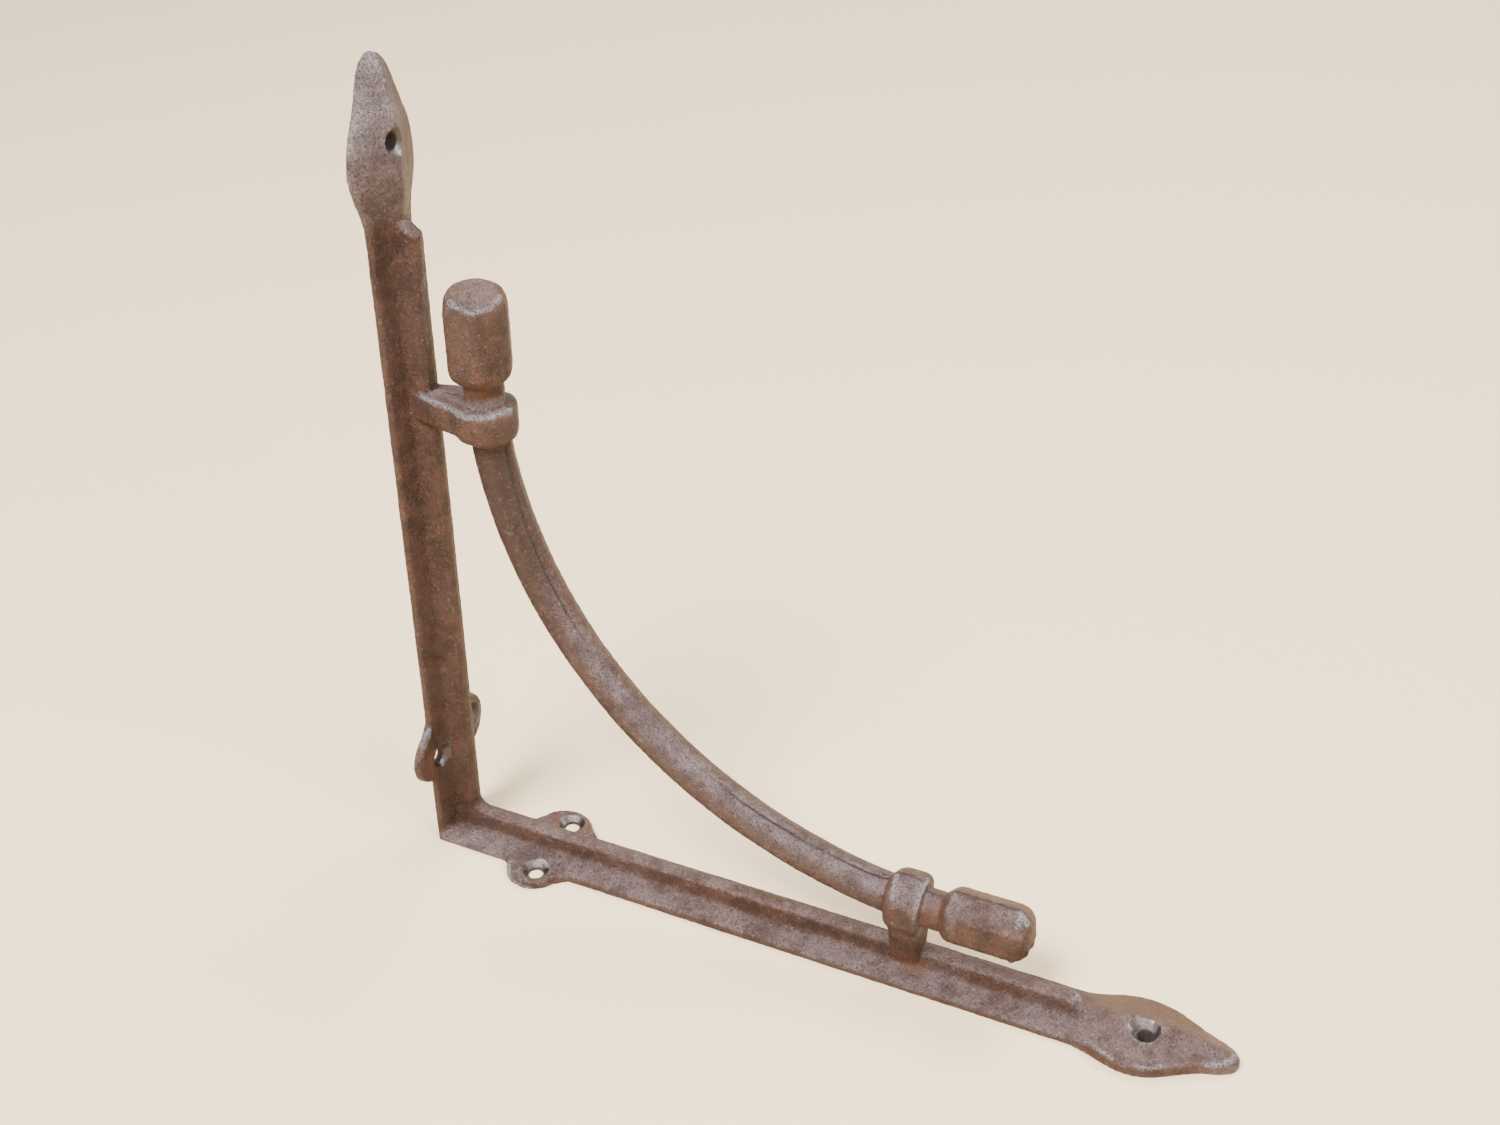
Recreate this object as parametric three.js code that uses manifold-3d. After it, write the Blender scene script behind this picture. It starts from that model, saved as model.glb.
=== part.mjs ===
// Cast iron bracket: two ribbed arms at a right angle, joined by a quarter-round bar that ends in
// six-sided knobs. One casting. Millimetres, +Z up. The lying arm runs along +X with its flat back
// down at z = 0, the standing arm runs up +Z, and y = 0 is the plane of the casting's parting line.
import * as THREE from "three";
import { mergeVertices } from "three/addons/utils/BufferGeometryUtils.js";
import Module from "manifold-3d";

const wasm = await Module();
wasm.setup();

// ---- sizes of the whole ----
const STRIP_HALF = 11.1; // half the width of an arm's strip at its back
const EDGE_H = 2.4; // height of the strip's edge
const DRAFT = 0.25; // how far an edge leans in over its height
const FACE_SLOPE = THREE.MathUtils.degToRad(17.5); // fall of the strip's front face, rib to edge
const RIB_FOOT_HALF = 3.7;
const RIB_TOP_HALF = 2.7;
const RIDGE_OVER = 0.5; // the rib's ridge, at the parting line, over its top corners
const CORNER_R = 4.6; // fillet in the inner corner
const HEEL_R = 1.0; // rounding of the outer corner

// ---- the two arms: one pattern, with the small differences of the two castings' halves ----
// rib is the height of the rib's top corners over the back, wider what the strip gains in half
// width, leafHalf and noseHalf the leaf's half widths, leafOff and noseOff how far they sit off centre,
// and leafEdge the height of the leaf's edge, with each side's share of what a face of even slope adds
const ARMS = {
  lying: {
    tip: 280.8,
    ribTop: 228.2,
    ribFoot: 231.8,
    rib: 10.0,
    wider: 0.3,
    leafHalf: 15.6,
    noseHalf: 6.7,
    leafOff: -0.1,
    noseOff: 1.4,
    leafEdge: { low: 3.4, near: 0.95, far: 0.2 },
  },
  standing: {
    tip: 281.4,
    ribTop: 228.4,
    ribFoot: 232.6,
    rib: 11.3,
    wider: -0.3,
    leafHalf: 15.2,
    noseHalf: 8.0,
    leafOff: -0.8,
    noseOff: 0,
    leafEdge: { low: 2.6, near: 0.1, far: 0.3 },
  },
};
const CORNER_RIB = 10.5; // rib height in the corner, between the two
const LEAF = { swell: 51.4, wide: 31.7, waist: 6.5, nose: 12.2 }; // distances back from the tip
const LEAF_RIDGE = 9.0;
const NOSE = { from: 22, fall: 5.2, tipFall: 0.5 }; // how the leaf's ridge comes down to its tip

// ---- screw lugs beside the corner ----
const LUG = { s: 38.8, reach: 20.3, r: 10.0, from: 24.0, to: 54.0 };
const LUG_EDGE_H = 2.6;
const LUG_FALL = 0.11; // slope of a lug's face towards its tip

// ---- screw holes, drilled by hand: distance along the arm, offset, height of the countersink's rim,
// the rim's own radius where it differs, and how far it sits off the hole where it was drilled askew ----
const HOLE_R = 2.5;
const SINK_R = 4.8;
const SINK_MORE = 0.5; // what the countersink widens above its rim, where the face slopes up
const HOLES = {
  lying: [
    { s: 252.0, y: -3.2, rim: 8.0, askew: -0.8 },
    { s: 40.4, y: -12.8, rim: 3.3 },
    { s: 40.3, y: 13.2, rim: 3.3 },
  ],
  standing: [
    { s: 257.0, y: -2.0, rim: 8.0, sink: 4.0 },
    { s: 37.2, y: -8.6, rim: 3.9, sink: 4.4 },
    { s: 40.3, y: 12.9, rim: 3.3 },
  ],
};

// ---- quarter-round bar, collars and knobs ----
const BAR_END = { lying: 28.3, standing: 29.0 }; // the bar's axis at its ends, from the arm's back
const BAR_R = 154.6; // radius of the bar's axis
const BAR_CX = BAR_END.standing + BAR_R; // its centre
const BAR_CZ = BAR_END.lying + BAR_R;
const BAR_FLAT = 6.15; // half the distance across the bar's flats
const KNOBS = {
  lying: { axis: 29.0, flat: 8.7, neck: 183.4, full: 187.2, bevel: 206.8, end: 213.0 },
  standing: { axis: 28.5, flat: 9.65, neck: 184.6, full: 188.8, bevel: 208.2, end: 216.1 },
};
const COLLAR_AXIS = { lying: 28.8, standing: 29.0 };
const COLLAR_FLAT = 9.7;
// collars and posts along the bar, from the side of the corner to the side of the knob
const COLLAR = { from: 165.4, to: 177.4, bevelFrom: 2.3, bevelTo: 1.7 };
const POST = { from: 167.3, to: 177.3, bevelFrom: 0.7, bevelTo: 0.9 };
const POST_HALF = { foot: 3.9, root: 7.6 }; // half widths on the arm and under the collar

// ---------------------------------------------------------------- helpers

// A solid of a closed geometry, with its faces turned outward.
function solid(geometry) {
  let g = geometry.clone();
  g.deleteAttribute("normal");
  g.deleteAttribute("uv");
  g = mergeVertices(g, 1e-4);
  const p = g.attributes.position;
  const index = Array.from(g.index.array);
  const a = new THREE.Vector3();
  const b = new THREE.Vector3();
  const c = new THREE.Vector3();
  let volume = 0;
  for (let i = 0; i < index.length; i += 3) {
    a.fromBufferAttribute(p, index[i]);
    b.fromBufferAttribute(p, index[i + 1]);
    c.fromBufferAttribute(p, index[i + 2]);
    volume += a.dot(b.cross(c)) / 6;
  }
  if (volume < 0)
    for (let i = 0; i < index.length; i += 3)
      [index[i + 1], index[i + 2]] = [index[i + 2], index[i + 1]];
  return new wasm.Manifold(
    new wasm.Mesh({
      numProp: 3,
      vertProperties: new Float32Array(p.array),
      triVerts: new Uint32Array(index),
    }),
  );
}

// A closed skin through rings of equal count, its two ends closed by fans.
function loft(rings) {
  const n = rings[0].length;
  const position = rings.flat(2);
  const index = [];
  for (let k = 0; k + 1 < rings.length; k++)
    for (let i = 0; i < n; i++) {
      const j = (i + 1) % n;
      const a = k * n + i;
      const b = k * n + j;
      index.push(a, b, b + n, a, b + n, a + n);
    }
  for (const [k, turn] of [
    [0, true],
    [rings.length - 1, false],
  ]) {
    const ring = rings[k];
    const centre = [0, 1, 2].map(
      (d) => ring.reduce((sum, q) => sum + q[d], 0) / n,
    );
    position.push(...centre);
    const m = position.length / 3 - 1;
    for (let i = 0; i < n; i++) {
      const j = (i + 1) % n;
      if (turn) index.push(m, k * n + j, k * n + i);
      else index.push(m, k * n + i, k * n + j);
    }
  }
  const g = new THREE.BufferGeometry();
  g.setAttribute("position", new THREE.Float32BufferAttribute(position, 3));
  g.setIndex(index);
  return g;
}

// A plate of one outline: each level is the outline drawn in by its inset, at the height its own
// function gives, and the first and last levels are closed.
function plate(outline, levels, place) {
  const n = outline.length;
  const turn = THREE.ShapeUtils.isClockWise(outline) ? 1 : -1;
  const inward = outline.map((p, i) => {
    const a = outline[(i + n - 1) % n];
    const b = outline[(i + 1) % n];
    const d = b.clone().sub(a).normalize();
    return new THREE.Vector2(turn * d.y, -turn * d.x);
  });
  const position = [];
  for (const { inset, h } of levels)
    outline.forEach((p, i) => {
      const q = p.clone().addScaledVector(inward[i], inset);
      position.push(...place(q.x, q.y, h(q.x, q.y)));
    });
  const index = [];
  for (let k = 0; k + 1 < levels.length; k++)
    for (let i = 0; i < n; i++) {
      const j = (i + 1) % n;
      index.push(k * n + i, k * n + j, (k + 1) * n + j);
      index.push(k * n + i, (k + 1) * n + j, (k + 1) * n + i);
    }
  const caps = THREE.ShapeUtils.triangulateShape(outline, []);
  const top = (levels.length - 1) * n;
  for (const [a, b, c] of caps) {
    // the caps' own winding follows the outline's
    if (turn < 0) index.push(a, c, b, top + a, top + b, top + c);
    else index.push(a, b, c, top + a, top + c, top + b);
  }
  const g = new THREE.BufferGeometry();
  g.setAttribute("position", new THREE.Float32BufferAttribute(position, 3));
  g.setIndex(index);
  return g;
}

// Radius of a six-sided section with softened corners, at an angle from one corner.
const sixSided = (angle, flat, crisp) => {
  let sum = 0;
  for (const normal of [30, 90, 150])
    sum +=
      Math.abs(Math.cos(angle - THREE.MathUtils.degToRad(normal))) ** crisp;
  return flat / sum ** (1 / crisp);
};

const smooth = (t) => {
  const u = THREE.MathUtils.clamp(t, 0, 1);
  return u * u * (3 - 2 * u);
};

// ---------------------------------------------------------------- arms

const onArm = {
  lying: (s, y, h) => [s, y, h],
  standing: (s, y, h) => [h, y, s],
};

// Half the arm's width at its back, at distance s from the heel.
function halfWidth(s, { tip, wider, leafHalf, noseHalf }) {
  const swell = tip - LEAF.swell;
  const wide = tip - LEAF.wide;
  const waist = tip - LEAF.waist;
  const strip = STRIP_HALF + wider * smooth((s - 18) / 50);
  if (s <= swell) return strip;
  if (s <= wide)
    return (
      strip +
      (leafHalf - strip) *
        (0.5 - 0.5 * Math.cos((Math.PI * (s - swell)) / (wide - swell)))
    );
  const t = Math.min((s - wide) / (waist - wide), 1) ** 1.15;
  const body =
    noseHalf + (leafHalf - noseHalf) * (0.5 + 0.5 * Math.cos(Math.PI * t));
  const round = Math.max(0, s - (tip - LEAF.nose)) / LEAF.nose;
  return body * Math.sqrt(Math.max(0, 1 - round * round));
}

// The arm's section without its rib: edge height, and height of the front face at the middle.
function faceHeights(s, side, half, { tip, leafEdge }) {
  const fall = (half - DRAFT) * Math.tan(FACE_SLOPE) * 0.99;
  const stripMiddle =
    EDGE_H + (STRIP_HALF - DRAFT) * Math.tan(FACE_SLOPE) * 0.99;
  const into = smooth((s - (tip - LEAF.swell - 6)) / 22);
  const nose = THREE.MathUtils.clamp(1 - (tip - s) / NOSE.from, 0, 1);
  const middle =
    THREE.MathUtils.lerp(stripMiddle, LEAF_RIDGE, into) -
    NOSE.fall * nose ** 1.4 -
    NOSE.tipFall * THREE.MathUtils.clamp(1 - (tip - s) / 4, 0, 1) ** 2;
  const low = THREE.MathUtils.lerp(EDGE_H, leafEdge.low, into) - 0.7 * nose ** 4;
  const even = Math.max(middle - fall, 0.6 * low);
  return {
    edge: THREE.MathUtils.lerp(low, even, leafEdge[side] * into),
    middle,
  };
}

// Half of one section from the back's edge to the ridge, as [y, h] pairs.
function halfSection(s, arm, side) {
  const { tip, ribTop, ribFoot, rib } = ARMS[arm];
  const ribH = THREE.MathUtils.lerp(CORNER_RIB, rib, smooth((s - 18) / 40));
  const b = halfWidth(s, ARMS[arm]);
  const { edge, middle } = faceHeights(s, side, Math.max(b, DRAFT), ARMS[arm]);
  const lean = Math.min(DRAFT, 0.1 * b);
  const shoulder = b - lean - Math.min(0.45, 0.2 * b);
  const face = (y) => edge + (middle - edge) * (1 - y / shoulder);
  const foot = Math.min(RIB_FOOT_HALF + 0.9, 0.45 * b);
  const k = foot / (RIB_FOOT_HALF + 0.9); // draws the section's points in where the leaf narrows
  const rise = Math.max(
    0,
    1 - Math.max(0, s - ribTop) / (ribFoot - ribTop),
  );
  const up = (y, top) =>
    Math.max(face(y), face(y) + (top - face(y)) * rise);
  return [
    [b, 0],
    [b - lean, edge - 0.4 * k],
    [shoulder, edge],
    [foot, face(foot)],
    [RIB_FOOT_HALF * k, up(RIB_FOOT_HALF * k, face(RIB_FOOT_HALF * k) + 0.7)],
    [(RIB_TOP_HALF + 0.1) * k, up((RIB_TOP_HALF + 0.1) * k, ribH - 0.5)],
    [(RIB_TOP_HALF - 0.4) * k, up((RIB_TOP_HALF - 0.4) * k, ribH)],
    [0, up(0, ribH + RIDGE_OVER) - 0.25 * (1 - rise)],
  ];
}

// How far the section's middle sits off y = 0.
function offCentre(s, { tip, leafOff, noseOff }) {
  const wide = tip - LEAF.wide;
  const into = smooth((s - (tip - LEAF.swell)) / (LEAF.swell - LEAF.wide));
  const past = smooth((s - wide) / (LEAF.wide - LEAF.waist));
  return leafOff * into + (noseOff - leafOff) * past;
}

function ringAt(s, arm, bend) {
  const off = offCentre(s, ARMS[arm]);
  const full = [
    ...halfSection(s, arm, "far"),
    ...halfSection(s, arm, "near")
      .slice(0, -1)
      .reverse()
      .map(([y, h]) => [-y, h]),
  ];
  return full.map(([y, h]) => {
    if (bend === undefined) return onArm[arm](s, y + off, h);
    const r = THREE.MathUtils.lerp(HEEL_R, CORNER_R, smooth(h / 8));
    return [
      h + r * (1 - Math.sin(bend)),
      y,
      h + r * (1 - Math.cos(bend)),
    ];
  });
}

function stations(arm) {
  const { tip, ribTop, ribFoot } = ARMS[arm];
  const list = [18, ribTop - 2, ribTop, (ribTop + ribFoot) / 2, ribFoot];
  for (let s = ribFoot + 3.5; s < tip - LEAF.nose - 2; s += 3.3) list.push(s);
  for (let k = 0; k <= 9; k++)
    list.push(tip - LEAF.nose + LEAF.nose * Math.sin((k / 9) * 1.46));
  return list;
}

const armRings = [
  ...stations("lying")
    .reverse()
    .map((s) => ringAt(s, "lying")),
  ...Array.from({ length: 9 }, (_, k) =>
    ringAt(0, "lying", (k / 8) * (Math.PI / 2)),
  ),
  ...stations("standing").map((s) => ringAt(s, "standing")),
];
const pieces = [solid(loft(armRings))];

// ---------------------------------------------------------------- lugs

function lugOutline() {
  const { s, reach, r, from, to } = LUG;
  const c = reach - r;
  const shape = new THREE.Shape();
  const first = THREE.MathUtils.degToRad(200);
  const last = THREE.MathUtils.degToRad(-14);
  shape.moveTo(from, STRIP_HALF - 0.7);
  shape.quadraticCurveTo(
    s - r - 0.9,
    STRIP_HALF + 0.2,
    s + r * Math.cos(first - 0.62),
    c + r * Math.sin(first - 0.62),
  );
  shape.absarc(s, c, r, first - 0.62, last + 0.72, true);
  shape.quadraticCurveTo(s + r + 2.2, STRIP_HALF + 0.6, to, STRIP_HALF - 0.7);
  shape.lineTo(to, 3.0);
  shape.lineTo(from, 3.0);
  shape.closePath();
  const points = shape.getPoints(10);
  // a closed path repeats its first point
  return points.filter(
    (p, i) =>
      p.distanceTo(points[(i + points.length - 1) % points.length]) > 0.05,
  );
}

const lug = lugOutline();
// A lug's face falls towards its tip, and dips under the strip's face at both ends of its foot.
const lugFace = (drop) => (s, y) =>
  LUG_EDGE_H +
  LUG_FALL * (LUG.reach - Math.abs(y)) -
  drop -
  1.6 *
    smooth((Math.abs(s - LUG.s) - LUG.r + 1.5) / 5) *
    smooth((STRIP_HALF + 2.5 - Math.abs(y)) / 3);
for (const arm of ["lying", "standing"])
  for (const side of [1, -1])
    pieces.push(
      solid(
        plate(
          lug,
          [
            { inset: 0, h: () => 0 },
            { inset: 0.35, h: lugFace(0.75) },
            { inset: 0.6, h: lugFace(0.22) },
            { inset: 1.2, h: lugFace(0) },
          ],
          (s, y, h) => onArm[arm](s, side * y, h),
        ),
      ),
    );

// ---------------------------------------------------------------- bar

const barAngles = Array.from({ length: 24 }, (_, i) => (i / 24) * 2 * Math.PI);
const barSection = barAngles.map((a) => {
  const r = sixSided(a, BAR_FLAT, 12);
  return [r * Math.cos(a), r * Math.sin(a)];
});
// outward distance o (away from the heel) and y, round the bar's axis at angle t from the standing end
const barRing = (t, past = 0) =>
  barSection.map(([o, y]) => [
    BAR_CX - (BAR_R - o) * Math.cos(t) + past * Math.sin(t),
    y,
    BAR_CZ - (BAR_R - o) * Math.sin(t) + past * Math.cos(t),
  ]);
const BAR_STEPS = 30;
pieces.push(
  solid(
    loft([
      barRing(0, 8),
      ...Array.from({ length: BAR_STEPS + 1 }, (_, k) =>
        barRing(((k / BAR_STEPS) * Math.PI) / 2),
      ),
      barRing(Math.PI / 2, 8),
    ]),
  ),
);

// ---------------------------------------------------------------- knobs

const knobAngles = Array.from({ length: 6 }, (_, side) =>
  [0, 6, 15, 30, 45, 54].map((d) =>
    THREE.MathUtils.degToRad(60 * side + d),
  ),
).flat();
for (const arm of ["lying", "standing"]) {
  const { axis, flat, neck, full, bevel, end } = KNOBS[arm];
  const run = end - bevel;
  const profile = [
    [neck, 0.6, 6],
    [neck + 0.9, 0.78, 8],
    [(neck + full) / 2 + 0.6, 0.93, 12],
    [full, 0.99, 12],
    [full + 2, 1, 12],
    [bevel, 1, 12],
    [bevel + 0.3 * run, 0.965, 11],
    [bevel + 0.6 * run, 0.875, 9],
    [bevel + 0.82 * run, 0.71, 7],
    [bevel + 0.95 * run, 0.47, 5],
    [end, 0.15, 4],
  ];
  pieces.push(
    solid(
      loft(
        profile.map(([s, scale, crisp]) =>
          knobAngles.map((a) => {
            const r = scale * sixSided(a, flat, Math.min(crisp, 11));
            return onArm[arm](
              s,
              r * Math.sin(a),
              axis + r * Math.cos(a),
            );
          }),
        ),
      ),
    ),
  );
}

// ---------------------------------------------------------------- collars on their posts

// Outline across the bar of the six-sided collar, drawn out a little on the side of its post.
function collarOutline(axis) {
  const steps = 36;
  return Array.from({ length: steps }, (_, k) => {
    const a = (2 * Math.PI * k) / steps;
    const r = sixSided(a, COLLAR_FLAT, 9);
    return new THREE.Vector2(axis + r * Math.cos(a), r * Math.sin(a));
  });
}

// Half the post's width at a height over the arm's back: it widens steadily into the collar.
function postHalf(h, axis) {
  const { foot, root } = POST_HALF;
  return (
    foot +
    (root - foot) * smooth((h - 3) / (axis - 9)) +
    (COLLAR_FLAT - 0.4 - root) * smooth((h - axis + 9) / 7)
  );
}

function postOutline(axis) {
  const low = 2.2;
  const steps = 14;
  const side = Array.from({ length: steps + 1 }, (_, k) => {
    const h = low + ((axis - low) * k) / steps;
    return new THREE.Vector2(h, postHalf(h, axis));
  });
  return [
    ...side,
    ...side.map((p) => new THREE.Vector2(p.x, -p.y)).reverse(),
  ];
}

const bevelled = ({ from, to, bevelFrom, bevelTo }) => [
  { inset: bevelFrom, h: () => from },
  { inset: 0.3 * bevelFrom, h: () => from + 0.6 * bevelFrom },
  { inset: 0, h: () => from + 1.5 * bevelFrom },
  { inset: 0, h: () => to - 1.5 * bevelTo },
  { inset: 0.3 * bevelTo, h: () => to - 0.6 * bevelTo },
  { inset: bevelTo, h: () => to },
];
for (const arm of ["lying", "standing"]) {
  const axis = COLLAR_AXIS[arm];
  const place = (h, y, s) => onArm[arm](s, y, h);
  pieces.push(solid(plate(collarOutline(axis), bevelled(COLLAR), place)));
  pieces.push(solid(plate(postOutline(axis), bevelled(POST), place)));
}

// ---------------------------------------------------------------- screw holes

// One countersunk hole, its axis along the height over the arm's back.
function drill({ s, y, rim, sink = SINK_R, askew = 0 }, arm) {
  const throat = rim - (sink - HOLE_R);
  const profile = [
    [0, -2],
    [HOLE_R, -2],
    [HOLE_R, throat],
    [sink + SINK_MORE, rim + SINK_MORE],
    [sink + SINK_MORE, rim + 5],
    [0, rim + 5],
  ].map(([r, h]) => new THREE.Vector2(r, h));
  const g = new THREE.LatheGeometry(profile, 28);
  g.deleteAttribute("normal");
  g.deleteAttribute("uv");
  const p = g.attributes.position;
  for (let i = 0; i < p.count; i++) {
    const h = p.getY(i);
    const over = THREE.MathUtils.clamp((h - throat) / (rim - throat), 0, 1);
    p.setXYZ(i, ...onArm[arm](s + p.getX(i) + askew * over, y + p.getZ(i), h));
  }
  return solid(g);
}

const drills = ["lying", "standing"].flatMap((arm) =>
  HOLES[arm].map((hole) => drill(hole, arm)),
);

// ---------------------------------------------------------------- the casting

// needle-thin facets left where the pieces meet are merged into their neighbours
const FACET_TOLERANCE = 0.02;
const casting = wasm.Manifold.union(pieces)
  .subtract(wasm.Manifold.union(drills))
  .simplify(FACET_TOLERANCE);
const cast = casting.getMesh();
const vertices = new Float32Array(cast.numVert * 3);
for (let i = 0; i < cast.numVert; i++)
  vertices.set(
    cast.vertProperties.subarray(i * cast.numProp, i * cast.numProp + 3),
    i * 3,
  );
const geometry = new THREE.BufferGeometry();
geometry.setAttribute("position", new THREE.Float32BufferAttribute(vertices, 3));
geometry.setIndex(new THREE.Uint32BufferAttribute(cast.triVerts, 1));
geometry.computeVertexNormals();

const group = new THREE.Group();
const bracket = new THREE.Mesh(
  geometry,
  new THREE.MeshStandardMaterial({
    color: new THREE.Color(0.2, 0.135, 0.105),
    roughness: 0.55,
    metalness: 0.55,
  }),
);
bracket.name = "bracket";
// the origin is under the middle of the whole
bracket.position.x = -ARMS.lying.tip / 2;
group.add(bracket);

export default group;
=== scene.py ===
"""Cast iron bracket: its casting with the rough skin, seams and wear of old iron, on a pale floor."""

import math

import bmesh
import bpy
import numpy as np
from mathutils import Matrix, Vector


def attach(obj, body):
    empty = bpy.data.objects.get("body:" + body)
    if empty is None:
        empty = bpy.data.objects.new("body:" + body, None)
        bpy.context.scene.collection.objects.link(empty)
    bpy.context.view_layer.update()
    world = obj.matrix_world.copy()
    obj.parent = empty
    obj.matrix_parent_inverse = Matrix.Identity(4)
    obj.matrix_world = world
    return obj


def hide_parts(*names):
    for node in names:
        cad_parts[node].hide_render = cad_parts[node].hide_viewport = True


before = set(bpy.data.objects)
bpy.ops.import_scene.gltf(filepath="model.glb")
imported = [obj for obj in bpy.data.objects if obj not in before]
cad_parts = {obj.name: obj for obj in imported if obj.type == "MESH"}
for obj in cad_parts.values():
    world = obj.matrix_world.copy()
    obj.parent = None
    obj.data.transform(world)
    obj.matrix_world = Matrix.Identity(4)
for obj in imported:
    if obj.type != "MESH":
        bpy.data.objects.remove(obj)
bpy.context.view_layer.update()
MM = 0.001
HEEL_X = -140.4  # the corner of the two backs, in millimetres

# ------------------------------------------------------------------ sizes, as in the CAD, in mm
BAR_C = (183.6, 182.9)  # centre of the quarter-round bar, in the corner's frame
BAR_R = 154.6
SINK_R = 4.8
SINK_MORE = 0.5  # the cone goes on that far above its rim
HOLE_R = 2.5
# arm, distance along it, offset, height of the countersink's rim, its radius, how far it leans
HOLES = [
    ("lying", 252.0, -3.2, 8.0, 4.8, -0.8),
    ("lying", 40.4, -12.8, 3.3, 4.8, 0.0),
    ("lying", 40.3, 13.2, 3.3, 4.8, 0.0),
    ("standing", 257.0, -2.0, 8.0, 4.0, 0.0),
    ("standing", 37.2, -8.6, 3.9, 4.4, 0.0),
    ("standing", 40.3, 12.9, 3.3, 4.8, 0.0),
]
KNOB_AXIS = {"lying": 29.0, "standing": 28.5}
KNOB_BEVEL = {"lying": 206.8, "standing": 208.2}

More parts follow.
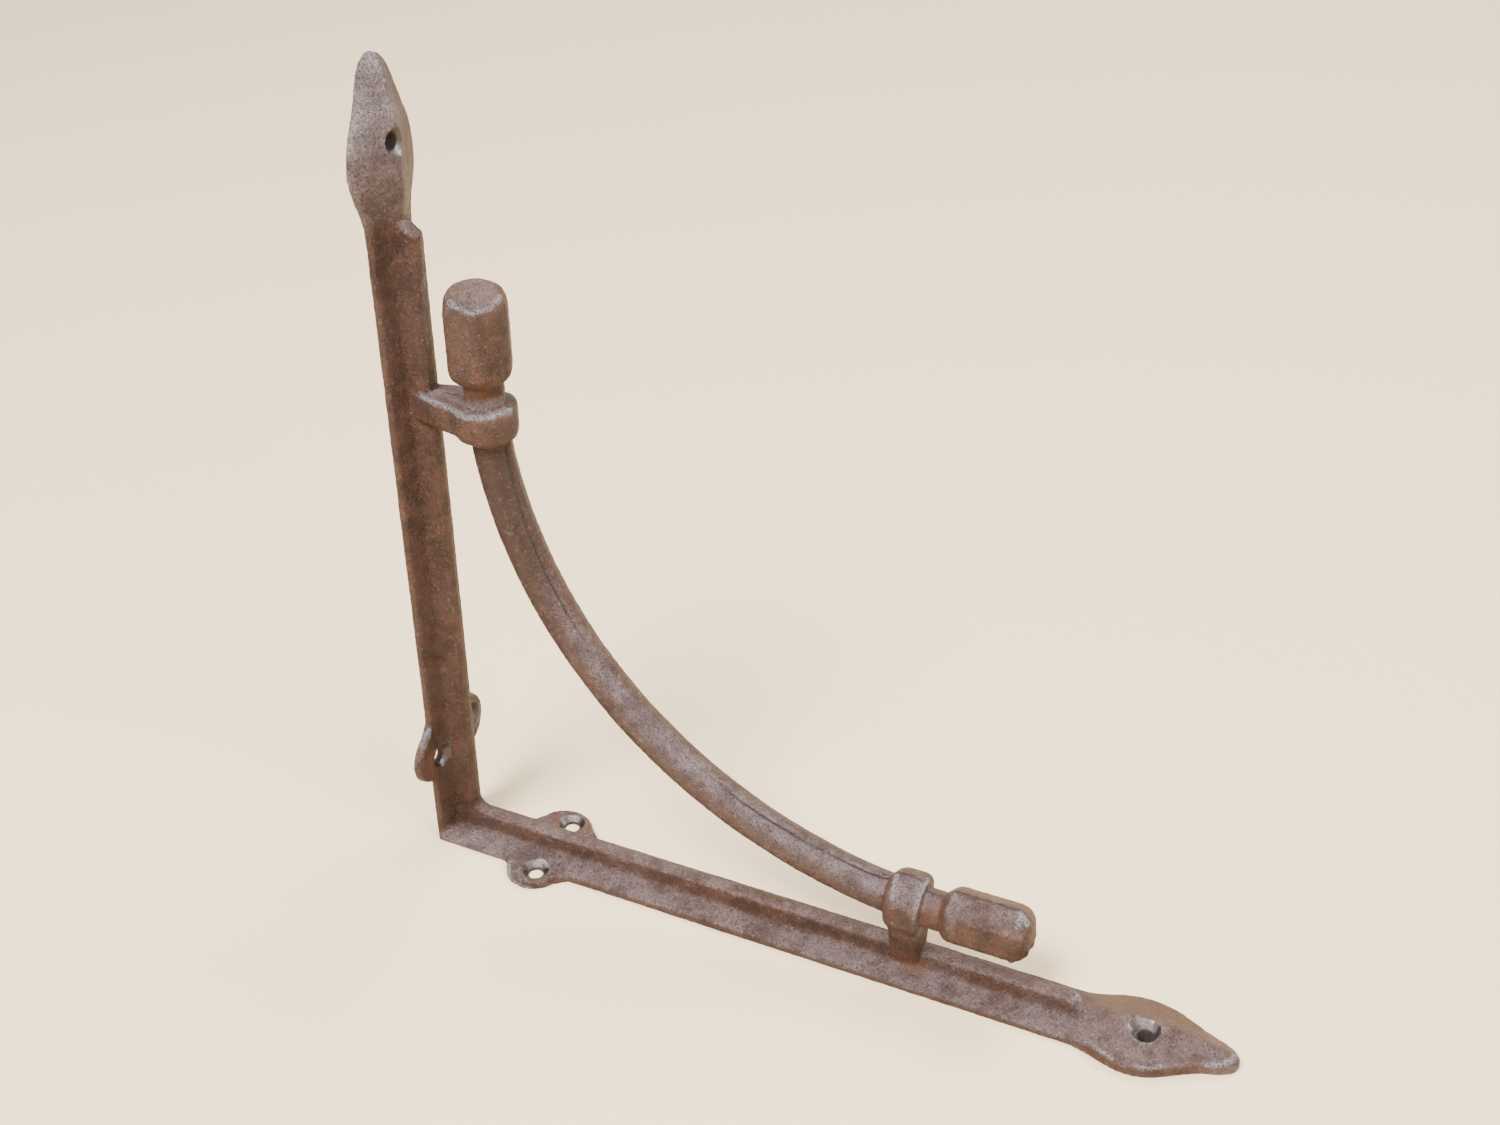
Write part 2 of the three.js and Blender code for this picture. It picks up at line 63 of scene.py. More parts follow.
# Wear and other marks, listed: kind, half width, points in mm in the record's frame.
# W rubbed to bright iron, G grey-violet bloom with painted sheen, R rust, D dark, B scraped metal in a
# countersink with painted highlights.
MARKS = [
    # knob 1 rim bright
    ("W", 0.82, [(-115.5, -8.0, 213.1), (-113.8, -8.6, 212.5), (-112.0, -8.7, 212.2), (-110.7, -8.7, 212.1)]),
    # knob 1 rim
    ("W", 0.66, [(-110.3, -8.8, 211.8), (-108.0, -8.7, 211.5), (-106.5, -7.9, 211.6), (-105.0, -5.9, 211.7), (-104.1, -4.1, 211.8)]),
    # knob 1 right patch
    ("W", 0.66, [(-103.6, -2.5, 212.8), (-103.2, -0.9, 213.1), (-103.6, 1.4, 213.3)]),
    # collar 1 rim
    ("W", 0.7, [(-132.9, -3.8, 177.0), (-129.4, -5.0, 176.6), (-126.1, -5.9, 176.6), (-121.8, -6.8, 176.8), (-117.8, -8.0, 176.5), (-113.8, -9.1, 176.4), (-110.5, -9.1, 176.4), (-107.2, -8.4, 176.7), (-105.0, -5.8, 177.0), (-103.8, -3.2, 177.2), (-102.5, -0.4, 177.2)]),
    # collar 1 inner
    ("G", 1.6, [(-119.2, -3.2, 177.3), (-113.0, -6.1, 178.8), (-109.3, -6.1, 179.2), (-106.2, -3.4, 179.7), (-104.6, -0.1, 179.7)]),
    # lug near rim
    ("W", 0.5, [(-109.5, -12.7, 3.4), (-109.1, -16.0, 2.9), (-106.9, -18.5, 1.4), (-102.5, -20.1, 0.7), (-98.4, -19.7, 0.5)]),
    # leaf edge a
    ("W", 0.35, [(97.0, -10.7, 4.3), (99.1, -12.5, 4.2), (102.0, -14.0, 4.2), (104.2, -14.6, 4.1)]),
    # leaf edge b
    ("W", 0.35, [(111.5, -14.6, 4.3), (116.0, -13.7, 4.3), (119.1, -12.0, 4.7)]),
    # leaf edge c
    ("W", 0.72, [(131.7, -5.0, 3.8), (135.2, -3.2, 3.8), (137.7, 0.0, 4.1), (138.4, 2.2, 3.9)]),
    # rib end b
    ("W", 0.58, [(88.3, -0.7, 9.8), (89.5, 0.8, 8.3)]),
    # knob 2 patch
    ("W", 1.15, [(67.9, -0.9, 38.0), (69.4, -1.6, 37.1), (70.6, -1.8, 36.1)]),
    # knob 2 patch b
    ("W", 0.86, [(67.5, -1.7, 37.8), (68.5, -4.2, 36.2)]),
    # knob 2 left
    ("G", 1.2, [(46.8, -1.2, 38.1), (46.3, -4.2, 36.3), (47.0, -7.8, 34.1)]),
    # collar 2 left
    ("W", 0.65, [(27.4, -0.9, 38.6), (27.8, -4.4, 37.2), (28.2, -7.8, 35.2)]),
    # collar 2 right
    ("W", 0.72, [(36.7, 2.4, 37.0), (36.5, -0.8, 37.9), (36.5, -4.6, 36.1), (36.4, -7.6, 34.0)]),
    # collar 2 right low
    ("W", 0.5, [(36.4, -7.6, 34.0), (36.2, -8.9, 30.4)]),
    # standing leaf top
    ("W", 0.5, [(-137.1, -0.7, 280.4), (-136.5, -0.9, 279.2)]),
    # standing leaf left
    ("W", 0.58, [(-138.4, -10.5, 265.8), (-138.7, -12.0, 263.0), (-138.9, -13.4, 260.2), (-139.0, -14.5, 257.3)]),
    # standing leaf left up
    ("G", 0.4, [(-139.5, -5.5, 278.0), (-139.0, -7.6, 273.0), (-138.9, -9.0, 269.2)]),
    # standing lug wall
    ("W", 0.65, [(-138.1, -11.5, 50.9), (-139.1, -13.4, 49.0), (-139.0, -15.8, 46.9)]),
    # standing lug bits
    ("B", 0.64, [(-137.3, -10.7, 41.1), (-139.3, -6.5, 35.9)]),
    # standing lug bits2
    ("B", 0.64, [(-138.7, -7.7, 34.8), (-137.2, -7.8, 33.2)]),
    # standing leaf sink a
    ("B", 0.64, [(-136.6, 0.4, 256.3), (-135.5, -0.0, 255.5)]),
    # standing leaf sink b
    ("B", 0.64, [(-133.8, -0.1, 255.2), (-132.2, -0.4, 253.1)]),
    # lying leaf sink
    ("B", 0.64, [(106.4, -3.0, 7.8), (107.8, -4.0, 6.8), (108.9, -4.6, 6.1)]),
    # lying leaf sink b
    ("B", 0.64, [(112.2, 1.3, 7.9), (113.9, -0.1, 7.4)]),
    # lug near sink
    ("B", 0.64, [(-100.3, -8.5, 2.9), (-98.4, -9.0, 2.6), (-96.9, -10.3, 2.5)]),
    # lug far sink
    ("B", 0.64, [(-104.1, 13.7, 2.5), (-102.6, 13.0, 0.8)]),
    # far standing spark
    ("W", 0.36, [(-137.3, 14.0, 34.9), (-137.2, 14.1, 33.1)]),
    # strip bright
    ("G", 4.5, [(-135.1, -10.5, 2.3), (-128.9, -8.6, 3.0), (-121.0, -8.1, 3.2), (-115.6, -8.3, 3.1)]),
    # rib near top
    ("G", 0.5, [(-128.8, 1.0, 227.7), (-128.8, -0.7, 211.2), (-129.0, -1.4, 193.3)]),
    # rust neck 1
    ("R", 2.6, [(-112.0, -7.6, 185.6), (-109.6, -6.1, 184.0), (-106.2, -5.8, 186.0)]),
    # rust neck 2
    ("R", 2.6, [(37.0, -6.3, 31.4), (38.8, -6.1, 27.7), (36.9, 2.2, 16.0)]),
    # rust neck 2b
    ("R", 1.6, [(41.5, -3.3, 33.5), (43.2, -5.9, 31.0)]),
    # post foot
    ("R", 2.4, [(28.5, -4.7, 9.0), (32.5, -4.2, 6.6), (38.3, -3.9, 5.2)]),
    # collar 2 dark
    ("D", 2.0, [(31.6, -9.6, 30.9), (33.8, -9.7, 27.5), (35.7, -8.1, 22.5)]),
    # bar scratch
    ("W", 0.25, [(-104.5, -6.1, 135.9), (-102.0, -6.1, 135.8)]),
    # pink spot
    ("G", 0.8, [(-60.6, -6.1, 68.4), (-59.9, -6.1, 67.8)]),
    # arm scratch
    ("W", 0.29, [(-136.1, -4.7, 71.8), (-134.1, -3.5, 71.6)]),
    # painted highlight: a light band down the standing leaf's near edge
    ("G", 0.35, [(-139.5, -3.4, 280.1), (-139.3, -7.6, 273.0), (-139.5, -10.9, 265.4), (-139.2, -14.3, 258.0), (-140.0, -15.8, 248.0)]),
    # pale bevel along the lying leaf's near edge
    ("G", 0.9, [(94.4, -9.6, 4.0), (100.1, -13.0, 4.2), (107.1, -15.2, 3.9), (116.0, -13.7, 4.3), (125.4, -8.1, 4.7), (133.6, -3.8, 4.1)]),
    # dark line under knob 1's bevel, and one down its dome
    ("D", 0.5, [(-114.6, -9.2, 210.9), (-107.9, -8.9, 210.9), (-103.0, -3.4, 210.3)]),
    ("D", 0.3, [(-110.9, -4.4, 215.7), (-109.0, -7.3, 213.9)]),
    # the end of the lying rib
    ("W", 0.58, [(88.3, 1.2, 10.2), (90.2, 1.8, 8.6)]),
]

# ------------------------------------------------------------------ noise


def lattice(seed, cells):
    """A hashed lattice of gradients for that seed."""
    rng = np.random.default_rng(seed)
    g = rng.normal(size=(cells, cells, cells, 3))
    return (g / np.linalg.norm(g, axis=-1, keepdims=True)).astype(np.float32)


LATTICES = {}


def noise(p, scale, seed, cells=64):
    """Gradient noise about -1 to 1 at points p, with lumps about scale across."""
    key = (seed, cells)
    if key not in LATTICES:
        LATTICES[key] = lattice(seed, cells)
    grid = LATTICES[key]
    q = p / scale + 1000.37
    base = np.floor(q).astype(np.int64)
    f = (q - base).astype(np.float32)
    w = f * f * f * (f * (f * 6 - 15) + 10)
    total = np.zeros(len(p), np.float32)
    for corner in range(8):
        o = np.array([(corner >> k) & 1 for k in range(3)])
        c = (base + o) % cells
        g = grid[c[:, 0], c[:, 1], c[:, 2]]
        d = np.einsum("ij,ij->i", g, f - o.astype(np.float32))
        s = np.where(o, w, 1 - w).prod(axis=1)
        total += d * s
    return total * 1.6


def step(a, b, x):
    t = np.clip((x - a) / (b - a), 0, 1)
    return t * t * (3 - 2 * t)


# ------------------------------------------------------------------ mesh helpers


def coords(me):
    co = np.empty(len(me.vertices) * 3, np.float32)
    me.vertices.foreach_get("co", co)
    return co.reshape(-1, 3).astype(np.float64)


def put(me, co):
    me.vertices.foreach_set("co", co.astype(np.float32).ravel())
    me.update()


def normals(me):
    n = np.empty(len(me.vertices) * 3, np.float32)
    me.vertex_normals.foreach_get("vector", n)
    return n.reshape(-1, 3).astype(np.float64)


def edges_of(me):
    e = np.empty(len(me.edges) * 2, np.int32)
    me.edges.foreach_get("vertices", e)
    return e.reshape(-1, 2)


def gathered(values, e, size):
    """For each vertex, the sum of its neighbours' values."""
    ends = np.concatenate([e[:, 0], e[:, 1]])
    from_ = np.concatenate([values[e[:, 1]], values[e[:, 0]]])
    if values.ndim == 1:
        return np.bincount(ends, from_, minlength=size)
    return np.stack([np.bincount(ends, from_[:, k], minlength=size) for k in range(values.shape[1])], axis=1)


def spread(values, e, rounds, share=0.5):
    """Values at the vertices, averaged with their neighbours'."""
    size = len(values)
    count = np.maximum(np.bincount(e.ravel(), minlength=size), 1).astype(float)
    shape = (-1, 1) if values.ndim > 1 else (-1,)
    for _ in range(rounds):
        values = (1 - share) * values + share * gathered(values, e, size) / count.reshape(shape)
    return values


def applied(obj, kind, **settings):
    """Adds a modifier to obj and applies it."""
    mod = obj.modifiers.new(kind.title(), kind)
    for k, v in settings.items():
        setattr(mod, k, v)
    bpy.context.view_layer.update()
    dg = bpy.context.evaluated_depsgraph_get()
    made = bpy.data.meshes.new_from_object(obj.evaluated_get(dg))
    obj.modifiers.clear()
    old = obj.data
    obj.data = made
    bpy.data.meshes.remove(old)


def to_marks(p, kind):
    """Distance in mm of points p from the edge of the marks of that kind, negative inside them."""
    best = np.full(len(p), 6.0)
    for k, half, points in MARKS:
        if k != kind:
            continue
        points = np.array(points, float)
        for a, b in zip(points[:-1], points[1:]):
            ab = b - a
            t = np.clip((p - a) @ ab / (ab @ ab), 0, 1)
            best = np.minimum(best, np.linalg.norm(p - a - t[:, None] * ab, axis=1) - half)
    return best


def arm_frame(p):
    """For points in mm in the record's frame: (along, across, over the back) of both arms."""
    x = p[:, 0] - HEEL_X
    return {
        "lying": (x, p[:, 1], p[:, 2]),
        "standing": (p[:, 2], p[:, 1], x),
    }


def bar_frame(p):
    """How far outward of the bar's axis (towards the corner), y, and the angle round its centre."""
    x = p[:, 0] - HEEL_X - BAR_C[0]
    z = p[:, 2] - BAR_C[1]
    r = np.hypot(x, z)
    angle = np.degrees(np.arctan2(-z, -x))
    return BAR_R - r, p[:, 1], angle


def drilled(p):
    """For each point, its nearest drilling: the distance from the axis, that surface's own radius
    at its height, the depth under the rim, and which drilling it is."""
    frames = arm_frame(p)
    best = np.full(len(p), 1e9)
    radius = np.zeros(len(p))
    under = np.zeros(len(p))
    which = np.zeros(len(p), int)
    for k, (arm, s, y, rim, sink, askew) in enumerate(HOLES):
        a, b, h = frames[arm]
        throat = rim - (sink - HOLE_R)
        lean = askew * np.clip((h - throat) / (rim - throat), 0, 1)
        d = np.hypot(a - s - lean, b - y)
        near = (d < best) & (h < rim + 6)
        best = np.where(near, d, best)
        radius = np.where(near, np.clip(sink - (rim - h), HOLE_R, sink + SINK_MORE), radius)
        under = np.where(near, rim - h, under)
        which = np.where(near, k, which)
    return best, radius, under, which


def parting_line(p):
    """Where the mould halves met, as an offset across the part: it wanders, and on the bar it runs
    along the near side."""
    _, _, angle = bar_frame(p)
    inner = np.minimum(p[:, 0] - HEEL_X, p[:, 2])
    outer = np.maximum(p[:, 0] - HEEL_X, p[:, 2])
    bar = step(14, 17, inner) * step(167, 163, outer)
    lean = np.interp(angle, [0, 25, 50, 75, 90], [2.0, 3.0, 2.4, 1.7, 1.0])
    return noise(p * [1, 0, 1], 14.0, 8) * 0.4 - bar * lean


# ------------------------------------------------------------------ the casting

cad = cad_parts["bracket"]
mesh = cad.data.copy()
mesh.name = "casting"
bm = bmesh.new()
bm.from_mesh(mesh)
bmesh.ops.remove_doubles(bm, verts=bm.verts, dist=1e-6)
bm.to_mesh(mesh)
bm.free()
casting = bpy.data.objects.new("casting", mesh)
bpy.context.scene.collection.objects.link(casting)

applied(casting, "REMESH", mode="VOXEL", voxel_size=0.00048, adaptivity=0.0)
me = casting.data
co = coords(me) / MM
e = edges_of(me)
# cast edges are a little soft: rounds of smoothing, then one outward to keep the bulk
co = spread(co, e, 3, 0.5)
co = co - 0.9 * (spread(co, e, 1, 0.5) - co)
# the bar is worn nearly round
outward, _, _ = bar_frame(co)
inner = np.minimum(co[:, 0] - HEEL_X, co[:, 2])
outer = np.maximum(co[:, 0] - HEEL_X, co[:, 2])
is_bar = step(9.5, 8.0, np.hypot(outward, co[:, 1])) * step(14, 17, inner) * step(164, 161, outer)
co = co + is_bar[:, None] * (spread(co, e, 14, 0.5) - co)


put(me, co * MM)
n = normals(me)

# ---- drilled surfaces stay crisp
dist, want, under, which = drilled(co)
inside = (dist < SINK_R + 0.8) & (np.abs(dist - want) < 0.7) & (under > -4) & (dist > 0.5)

# ---- casting skin: waves, lumps, sand grain and pits
low = noise(co, 17.0, 3) * 0.09 + noise(co, 7.0, 4) * 0.05
lumps = noise(co, 3.0, 5) * 0.05
grain = noise(co, 1.5, 6) * 0.085 + noise(co, 1.05, 12) * 0.06
pits = np.minimum(0, noise(co, 2.1, 7) + 0.42) * 0.2
skin = low + lumps + grain + pits

# ---- the two mould halves don't quite meet: a small step and groove where the surface crosses y = 0
frames = arm_frame(co)
up_l = frames["lying"][2]
up_s = frames["standing"][2]
clear = step(12.5, 14.5, np.minimum(up_l, up_s - 1))
across = co[:, 1] - parting_line(co)
on_top = np.clip(1.9 - 2.0 * np.abs(n[:, 1]), 0, 1)
in_dome = (frames["standing"][0] > KNOB_BEVEL["standing"] + 3) & (up_s > 15)
part = clear * on_top * np.where(in_dome, 0.15, 1.0)
groove = -np.exp(-((across / 0.42) ** 2)) * (0.13 + 0.06 * noise(co * [1, 0, 1], 6.0, 9))
ledge = np.where(across < 0, np.exp(across / 2.2), 0) * 0.07
seam = part * (groove + ledge)

# ---- rough flash under the end of the lying arm's knob, and small lumps on the end of its rib
along_l = frames["lying"][0]
end = step(KNOB_BEVEL["lying"] - 1.5, KNOB_BEVEL["lying"] + 1, along_l) * step(14, 17, up_l)
end = end * step(29.5, 26.5, up_l)
flash = end * np.clip(noise(co, 2.3, 21) * 0.75 + 0.12, -0.1, 0.8)
rib_end = (
    step(224, 227, along_l) * step(233.5, 231, along_l) * step(5.0, 7.0, up_l) * step(15, 13, up_l)
)
flash += rib_end * noise(co, 2.4, 22) * 0.4

shift = np.where(inside, 0, skin + seam + flash)
co = co + n * shift[:, None]
put(me, co * MM)

applied(casting, "DECIMATE", ratio=min(1.0, 195000 / max(1, 2 * len(casting.data.polygons))))
me = casting.data

# ---- the drillings are cut afresh, so their rims are crisp


def cutters():
    """One closed mesh of all the drills, each with a slightly unround countersink."""
    cut = bmesh.new()
    turns = 64
    rng = np.random.default_rng(31)
    for arm, s, yy, rim, sink, askew in HOLES:
        throat = rim - (sink - HOLE_R)
        phase = rng.uniform(0, 6.28, 2)
        rings = []
        for r, h in (
            (HOLE_R + 0.08, -3),
            (HOLE_R + 0.08, throat),
            (sink + SINK_MORE + 0.1, rim + SINK_MORE),
            (sink + SINK_MORE + 0.1, rim + 5),
        ):
            lean = askew * min(max((h - throat) / (rim - throat), 0), 1)
            ring = []
            for k in range(turns):
                t = 2 * math.pi * k / turns
                rr = r * (1 + 0.012 * math.sin(2 * t + phase[0]) + 0.008 * math.sin(3 * t + phase[1]))
                a, b = s + lean + rr * math.cos(t), yy + rr * math.sin(t)
                at = (a + HEEL_X, b, h) if arm == "lying" else (h + HEEL_X, b, a)
                ring.append(cut.verts.new(Vector(at) * MM))
            rings.append(ring)
        for low_ring, high_ring in zip(rings[:-1], rings[1:]):
            for k in range(turns):
                j = (k + 1) % turns
                cut.faces.new((low_ring[k], low_ring[j], high_ring[j], high_ring[k]))
        cut.faces.new(rings[0])
        cut.faces.new(rings[-1])
    bmesh.ops.recalc_face_normals(cut, faces=cut.faces)
    made = bpy.data.meshes.new("drills")
    cut.to_mesh(made)
    cut.free()
    return bpy.data.objects.new("drills", made)


drills = cutters()
bpy.context.scene.collection.objects.link(drills)
applied(casting, "BOOLEAN", operation="DIFFERENCE", solver="EXACT", object=drills)
bpy.data.objects.remove(drills)
applied(casting, "TRIANGULATE")
me = casting.data
co = coords(me) / MM
me.shade_smooth()
# the drillings' rims stay sharp
shape = bmesh.new()
shape.from_mesh(me)
dist, want, under, which = drilled(co)
by_drill = (dist < SINK_R + 1.2) & (under < 4.5) & (under > -2)
for edge in shape.edges:
    if by_drill[edge.verts[0].index] and len(edge.link_faces) == 2:
        if edge.calc_face_angle(0) > 0.45:
            edge.smooth = False
shape.to_mesh(me)
shape.free()

# ------------------------------------------------------------------ masks the material reads
n = normals(me)
e = edges_of(me)
v0, v1 = co[e[:, 0]], co[e[:, 1]]
length = np.maximum(np.linalg.norm(v1 - v0, axis=1), 1e-6)
bend = np.einsum("ij,ij->i", n[e[:, 1]] - n[e[:, 0]], v1 - v0) / length**2
count = np.maximum(np.bincount(e.ravel(), minlength=len(co)), 1)
curve = (
    np.bincount(e[:, 0], bend, minlength=len(co)) + np.bincount(e[:, 1], bend, minlength=len(co))
) / count  # mean curvature, per mm, positive on an edge
broad = spread(curve, e, 12)


def attribute(name, values):
    a = me.attributes.new(name, "FLOAT", "POINT")
    a.data.foreach_set("value", values.astype(np.float32))


frames = arm_frame(co)
along_s, y, up_s = frames["standing"]
along_l, _, up_l = frames["lying"]
outward, _, angle = bar_frame(co)
clear = step(12.5, 14.5, np.minimum(up_l, up_s - 1)) * np.clip(1.9 - 2.0 * np.abs(n[:, 1]), 0, 1)
clear = clear * np.where((along_s > KNOB_BEVEL["standing"] + 3) & (up_s > 15), 0.0, 1.0)
attribute("edge", np.clip(broad * 0.9, 0, 1))
attribute("hollow", np.clip(-broad * 1.3, 0, 1))
attribute("parting", y - parting_line(co))  # mm from the parting line
mid_bar = step(28, 38, angle) * step(66, 54, angle) * (np.abs(outward) < 9.5)
clear = clear * (1 - 0.8 * mid_bar)
attribute("parted", clear)
dist, want, under, which = drilled(co)
attribute("bore", dist)  # mm from a drilling's axis
attribute("drilled", np.where((np.abs(dist - want - 0.08) < 0.22) & (under > -0.9), 1.0, 0.0))
for kind, name in zip("WGRDB", ("worn", "bloom_and_sheen_marks", "rusty", "darkened", "scraped_and_glinting")):
    attribute(name, to_marks(co, kind))

# broad tones: greyer patina on the standing leaf and a painted sheen on the bar's faces turned up and to the near
# side, browner high on the bar as painted shade, warmer on the far side in place of the painted sheen
leaf_s = step(229, 238, along_s) * step(13, 10, up_s)
leaf_l = step(229, 238, along_l) * step(13, 10, up_l)
grey = leaf_s * (1 - 0.65 * step(0.5, 5.0, y)) * (0.5 + 0.35 * step(245, 268, along_s))
nose = step(266, 274, along_l) * step(13, 10, up_l)
grey = np.maximum(grey, nose * 0.5)
on_bar = (np.abs(outward) < 9.5) & (np.abs(y) < 9.5) & (up_l > 16) & (up_s > 16)
on_bar &= (along_l < 190) & (along_s < 166)
# painted shade: the upper part of the bar is painted a darker brown
upper_bar_shade = np.where(on_bar, step(42, 12, angle), 0)
# painted sheen: the bar's faces turned up and towards the near side, on the near side of the parting line, are
# painted greyer
bar_sheen_facing = (n[:, 0] + n[:, 2]) * 0.707 * 0.8 - n[:, 1] * 0.35
grey = np.maximum(grey, np.where(on_bar, step(0.0, 0.95, bar_sheen_facing) * step(10, 40, angle) * 0.7 * step(2.6, 0.2, y - parting_line(co)), 0))
attribute("grey", grey)
attribute("brown", np.clip(upper_bar_shade, 0, 1))
rib_top = step(8.6, 9.6, up_l) * step(13, 12, up_l) * step(229, 226, along_l) * 0.25
# painted shade: the far-facing side of the leaf and knob is painted warm brown, in place of the painted sheen
far_leaf = leaf_l * step(0.5, 4.5, y)
far_knob = step(184, 188, along_l) * step(16, 19, up_l) * step(-0.5, 2.0, y)
dome = step(184, 188, along_s) * step(16, 19, up_s) * step(0.6, 0.9, n[:, 2])
attribute("warm", np.clip(0.15 * leaf_l + 0.8 * far_leaf + 0.8 * far_knob + 0.65 * dome + rib_top, 0, 1))

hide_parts("bracket")
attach(casting, "root")

# ------------------------------------------------------------------ material


class Nodes:
    """Short calls for building one material's node tree."""

    def __init__(self, name):
        self.material = bpy.data.materials.new(name)
        self.material.use_nodes = True
        self.tree = self.material.node_tree
        self.tree.nodes.clear()

    def add(self, kind, inputs=(), **settings):
        node = self.tree.nodes.new(kind)
        for k, v in settings.items():
            setattr(node, k, v)
        for k, v in dict(inputs).items():
            self.set(node, k, v)
        return node

    def set(self, node, key, value):
        socket = node.inputs[key]
        if isinstance(value, bpy.types.NodeSocket):
            self.tree.links.new(value, socket)
        elif isinstance(value, (tuple, list)) and len(value) == 3 and socket.type == "RGBA":
            socket.default_value = (*value, 1)
        else:
            socket.default_value = value

    def math(self, op, a, b=None, c=None, clamp=False):
        node = self.add("ShaderNodeMath", operation=op, use_clamp=clamp)
        for i, v in enumerate((a, b, c)):
            if v is not None:
                self.set(node, i, v)
        return node.outputs[0]

    def times(self, *values):
        out = values[0]
        for v in values[1:]:
            out = self.math("MULTIPLY", out, v)
        return out

    def ramp(self, value, a, b, to=(0.0, 1.0)):
        node = self.add("ShaderNodeMapRange", interpolation_type="SMOOTHSTEP")
        for k, v in zip(("Value", "From Min", "From Max", "To Min", "To Max"), (value, a, b, *to)):
            self.set(node, k, v)
        return node.outputs[0]

    def mix(self, factor, a, b, blend="MIX"):
        node = self.add("ShaderNodeMix", data_type="RGBA", blend_type=blend)
        self.set(node, 0, factor)
        self.set(node, 6, a)
        self.set(node, 7, b)
        return node.outputs[2]

    def noise(self, where, scale, detail=2.0, rough=0.5, distort=0.0):
        node = self.add(
            "ShaderNodeTexNoise",
            {"Vector": where, "Scale": scale, "Detail": detail, "Roughness": rough, "Distortion": distort},
        )
        return node.outputs["Fac"]

    def attr(self, name):
        return self.add("ShaderNodeAttribute", attribute_name=name).outputs["Fac"]

    def mark(self, name, fray, ragged, soft):
        """A mask inside the hand-placed marks of that name, with a frayed edge."""
        off = self.times(self.math("SUBTRACT", fray, 0.5), ragged)
        return self.ramp(self.math("ADD", self.attr(name), off), soft, -soft)


m = Nodes("patinated_iron")
where = m.add("ShaderNodeTexCoord").outputs["Object"]
normal = m.add("ShaderNodeNewGeometry").outputs["Normal"]
split = m.add("ShaderNodeSeparateXYZ", {0: normal})
nx, ny, nz = split.outputs

grain = m.noise(where, 1450.0, 4.0, 0.75)
speck = m.noise(where, 900.0, 4.0, 0.75)
fray = m.noise(where, 520.0, 4.0, 0.7)
mottle = m.noise(where, 160.0, 4.0, 0.65)
patch = m.noise(where, 38.0, 3.0, 0.6)
wide = m.noise(where, 14.0, 2.0, 0.5)

brown = m.mix(m.ramp(mottle, 0.36, 0.64), (0.036, 0.0148, 0.0085), (0.077, 0.0335, 0.0195))
brown = m.mix(m.ramp(patch, 0.45, 0.66), brown, (0.062, 0.031, 0.0205))
# painted shade: darker brown high on the bar
brown = m.mix(m.times(m.attr("brown"), 0.8), brown, (0.034, 0.0145, 0.0105))
violet = m.mix(m.ramp(mottle, 0.35, 0.65), (0.083, 0.0545, 0.055), (0.153, 0.112, 0.114))
# grey-violet bloom with a painted sheen: the colour is made lighter on what faces up and towards the near side,
# where the light falls
bloom_and_sheen_facing = m.math("ADD", m.times(nz, 0.8), m.math("ADD", m.times(ny, -0.32), m.times(nx, 0.2)))
bloom_and_sheen_facing = m.math("ADD", bloom_and_sheen_facing, m.times(m.math("SUBTRACT", patch, 0.5), 0.7))
bloom_and_sheen_facing = m.math("ADD", bloom_and_sheen_facing, m.times(m.math("SUBTRACT", fray, 0.5), 0.5))
bloom_and_sheen = m.times(m.ramp(bloom_and_sheen_facing, 0.42, 0.98), 0.85)
cool = m.attr("grey")
violet = m.mix(cool, violet, m.mix(m.ramp(mottle, 0.35, 0.65), (0.1, 0.0805, 0.0895), (0.172, 0.146, 0.16)))
bloom_and_sheen = m.math("MAXIMUM", bloom_and_sheen, m.times(cool, m.ramp(fray, 0.3, 0.5, (0.75, 1.0))))
# the listed G marks add more of the bloom and its painted sheen
bloom_and_sheen = m.math("MAXIMUM", bloom_and_sheen, m.times(m.mark("bloom_and_sheen_marks", fray, 2.2, 1.0), 0.95))
# and no painted sheen where the upper bar is painted darker
bloom_and_sheen = m.times(bloom_and_sheen, m.ramp(m.attr("brown"), 1.0, 0.0, (0.3, 1.0)))
colour = m.mix(bloom_and_sheen, brown, violet)
# warm brown: the far side's painted shade, and a warmer tone on knob 1's dome and the lying rib's top
colour = m.mix(m.times(m.attr("warm"), 0.6), colour, (0.112, 0.053, 0.026))
# pale sandy points, partly painted glints and stronger where the sheen is painted, and dark ones
points = m.ramp(speck, 0.55, 0.66)
colour = m.mix(m.times(points, m.ramp(bloom_and_sheen, 0.0, 1.0, (0.24, 0.55))), colour, (0.275, 0.212, 0.205))
dark = m.ramp(grain, 0.51, 0.39)
colour = m.mix(m.times(dark, 0.75), colour, (0.018, 0.01, 0.007))
# rust in the hollows
rust = m.times(m.ramp(m.attr("hollow"), 0.08, 0.5), m.ramp(mottle, 0.3, 0.62), 0.55)
rust = m.math("MAXIMUM", rust, m.times(m.mark("rusty", fray, 3.0, 2.2), 0.5))
rust = m.times(rust, m.ramp(grain, 0.35, 0.55, (0.4, 1.0)))
colour = m.mix(rust, colour, (0.125, 0.044, 0.015))
shade = m.mark("darkened", fray, 3.0, 1.0)
colour = m.mix(m.times(shade, 0.55), colour, (0.03, 0.018, 0.013))
off = m.math("ABSOLUTE", m.math("ADD", m.attr("parting"), m.times(m.math("SUBTRACT", fray, 0.5), 0.9)))
seam = m.times(m.ramp(off, 0.6, 0.2), m.attr("parted"), m.ramp(patch, 0.25, 0.5))
colour = m.mix(m.times(seam, 0.85), colour, (0.014, 0.009, 0.008))
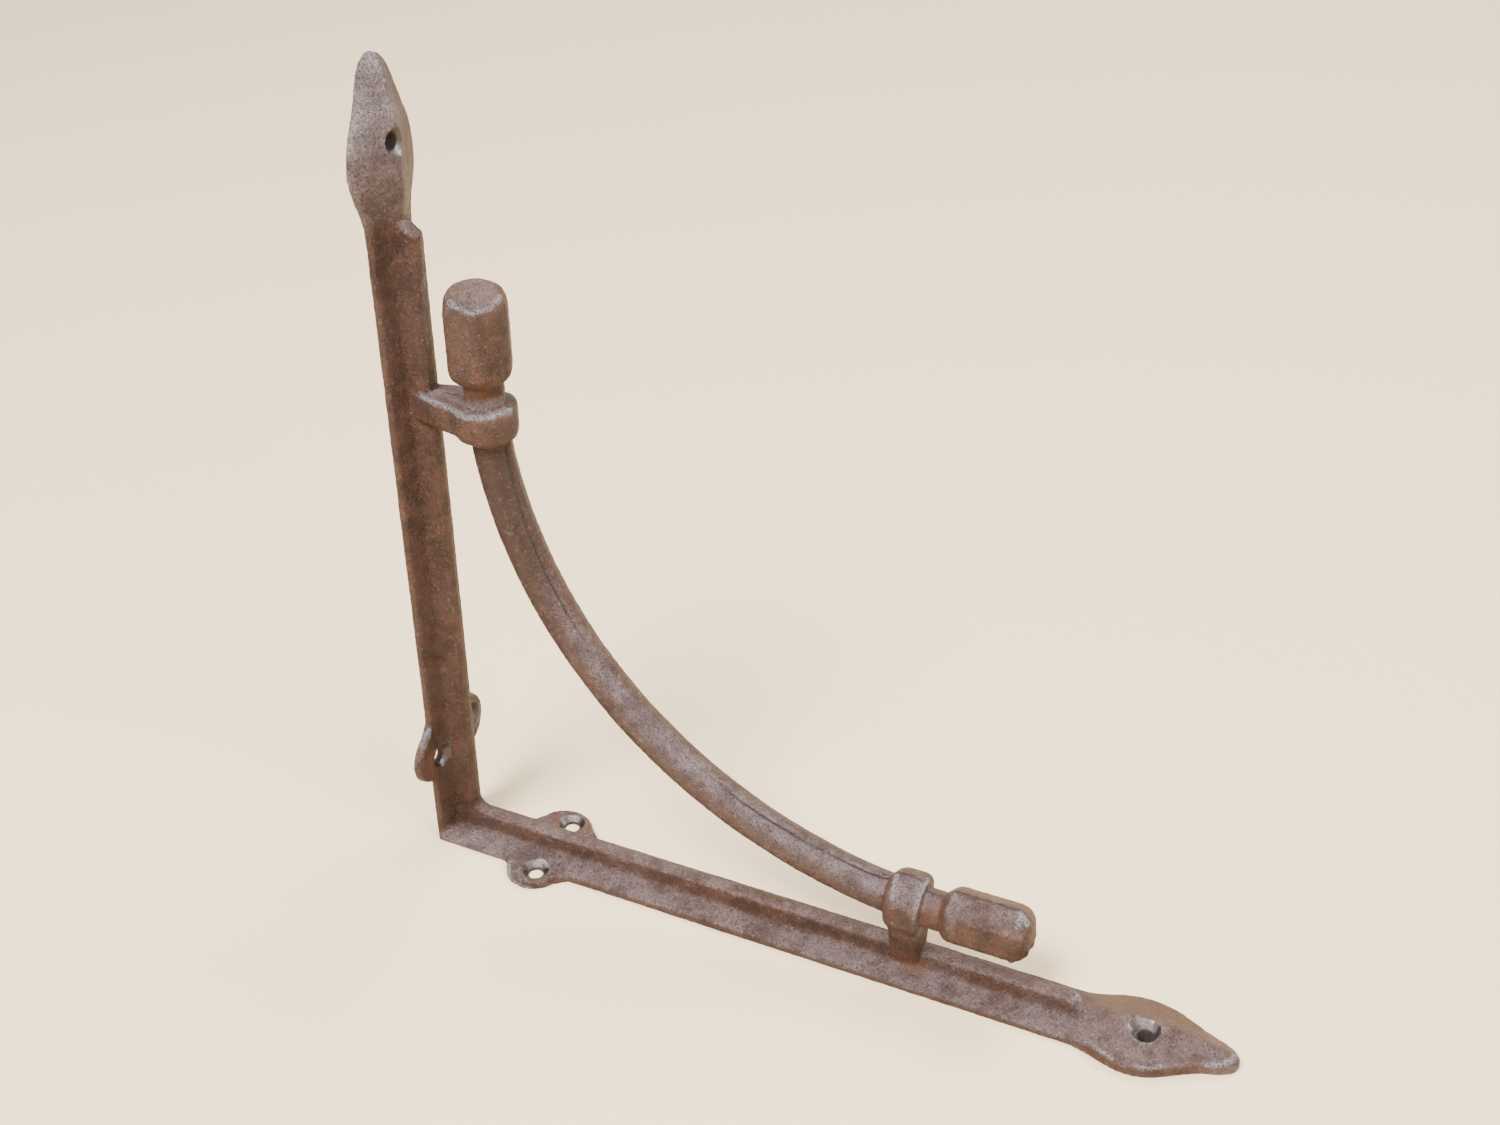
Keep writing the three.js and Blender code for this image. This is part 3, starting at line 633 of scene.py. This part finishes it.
# rubbed edges show grey iron
rub = m.times(m.ramp(m.attr("edge"), 0.2, 0.6), m.ramp(wide, 0.46, 0.66), 0.5)
crest = m.ramp(m.attr("edge"), 0.0, 0.16, (0.3, 1.0))
rub = m.math("MAXIMUM", rub, m.times(m.mark("worn", fray, 1.8, 0.8), crest))
rub = m.times(rub, m.ramp(grain, 0.43, 0.56, (0.12, 0.95)))
colour = m.mix(rub, colour, (0.282, 0.288, 0.315))
# drilled countersinks: turned metal gone brown, scraped bright in places with painted highlights on the bright
# bits; the bores painted dark as painted shade
sunk = m.times(m.attr("drilled"), m.ramp(mottle, 0.3, 0.6, (0.6, 0.95)))
colour = m.mix(sunk, colour, (0.078, 0.068, 0.066))
# painted shade: the bore walls are painted dark
bore = m.times(m.attr("drilled"), m.ramp(m.attr("bore"), 2.95, 2.65))
colour = m.mix(m.times(bore, 0.85), colour, (0.04, 0.03, 0.027))
# bright bits in the countersinks: scraped metal and painted highlights
bare_and_glint = m.times(m.mark("scraped_and_glinting", fray, 1.6, 0.6), m.ramp(bore, 0.5, 0.0), m.ramp(grain, 0.36, 0.5, (0.4, 0.85)))
colour = m.mix(bare_and_glint, colour, (0.29, 0.288, 0.298))

bright = m.math("MAXIMUM", rub, bare_and_glint)
cone = m.times(m.attr("drilled"), m.math("SUBTRACT", 1.0, bore))
rough = m.math("ADD", 0.4, m.times(m.ramp(grain, 0.35, 0.65), 0.18))
rough = m.math("ADD", rough, m.times(bore, 0.3))
rough = m.math("SUBTRACT", rough, m.times(m.math("MAXIMUM", bright, cone), 0.14))
metal = m.math("ADD", 0.5, m.times(m.math("MAXIMUM", bright, cone), 0.45), clamp=True)

height = m.math("ADD", m.times(grain, 1.0), m.times(speck, 0.9))
height = m.math("ADD", height, m.times(fray, 0.5))
flat = m.ramp(cone, 0.0, 1.0, (0.0009, 0.0002))
bump = m.add("ShaderNodeBump", {"Strength": 1.0, "Distance": flat, "Height": height})
shader = m.add(
    "ShaderNodeBsdfPrincipled",
    {
        "Base Color": colour,
        "Roughness": rough,
        "Metallic": metal,
        "Normal": bump.outputs[0],
    },
)
m.add("ShaderNodeOutputMaterial", {"Surface": shader.outputs[0]})
me.materials.clear()
me.materials.append(m.material)

# ------------------------------------------------------------------ floor, light, camera
floor_mesh = bpy.data.meshes.new("floor")
floor_mesh.from_pydata([(-6, -6, 0), (6, -6, 0), (6, 6, 0), (-6, 6, 0)], [], [(0, 1, 2, 3)])
floor = bpy.data.objects.new("floor", floor_mesh)
floor.location.z = -0.00005
bpy.context.scene.collection.objects.link(floor)
f = Nodes("floor")
plain = f.add("ShaderNodeBsdfPrincipled", {"Base Color": (0.56, 0.44, 0.285), "Roughness": 0.7})
f.add("ShaderNodeOutputMaterial", {"Surface": plain.outputs[0]})
floor_mesh.materials.append(f.material)


def area_light(name, place, aim, size, power, colour=(1, 1, 1)):
    light = bpy.data.lights.new(name, "AREA")
    light.shape = "DISK"
    light.size = size
    light.energy = power
    light.color = colour
    obj = bpy.data.objects.new(name, light)
    obj.location = place
    obj.rotation_mode = "QUATERNION"
    obj.rotation_quaternion = (Vector(aim) - Vector(place)).to_track_quat("-Z", "Y")
    bpy.context.scene.collection.objects.link(obj)


area_light("key", (-0.35, -0.9, 1.65), (0, 0, 0.1), 0.8, 140, (1.0, 0.985, 0.965))
area_light("fill", (1.3, -0.5, 1.4), (0, 0, 0.1), 1.2, 58, (1.0, 0.96, 0.91))
area_light("back", (0.2, 1.2, 1.7), (0, 0, 0.1), 1.2, 74, (1.0, 0.96, 0.91))

world = bpy.data.worlds.new("room")
world.use_nodes = True
world.node_tree.nodes["Background"].inputs[0].default_value = (1.0, 0.945, 0.885, 1)
world.node_tree.nodes["Background"].inputs[1].default_value = 0.62
bpy.context.scene.world = world

camera = bpy.data.cameras.new("camera")
camera.sensor_width = 36
camera.lens = 46.65
eye = bpy.data.objects.new("camera", camera)
yaw, pitch, roll = (math.radians(a) for a in (24.92, 33.69, -0.38))
look = Vector((-math.sin(yaw) * math.cos(pitch), math.cos(yaw) * math.cos(pitch), -math.sin(pitch)))
level = Vector((math.cos(yaw), math.sin(yaw), 0))
above = level.cross(look)
right = math.cos(roll) * level + math.sin(roll) * above
top = -math.sin(roll) * level + math.cos(roll) * above
eye.matrix_world = Matrix.Translation((0.17788, -0.43383, 0.46185)) @ Matrix(
    (right, top, -look)
).transposed().to_4x4()
bpy.context.scene.collection.objects.link(eye)
bpy.context.scene.camera = eye

print("casting", len(me.vertices), "vertices", sum(len(p.vertices) - 2 for p in me.polygons), "triangles")
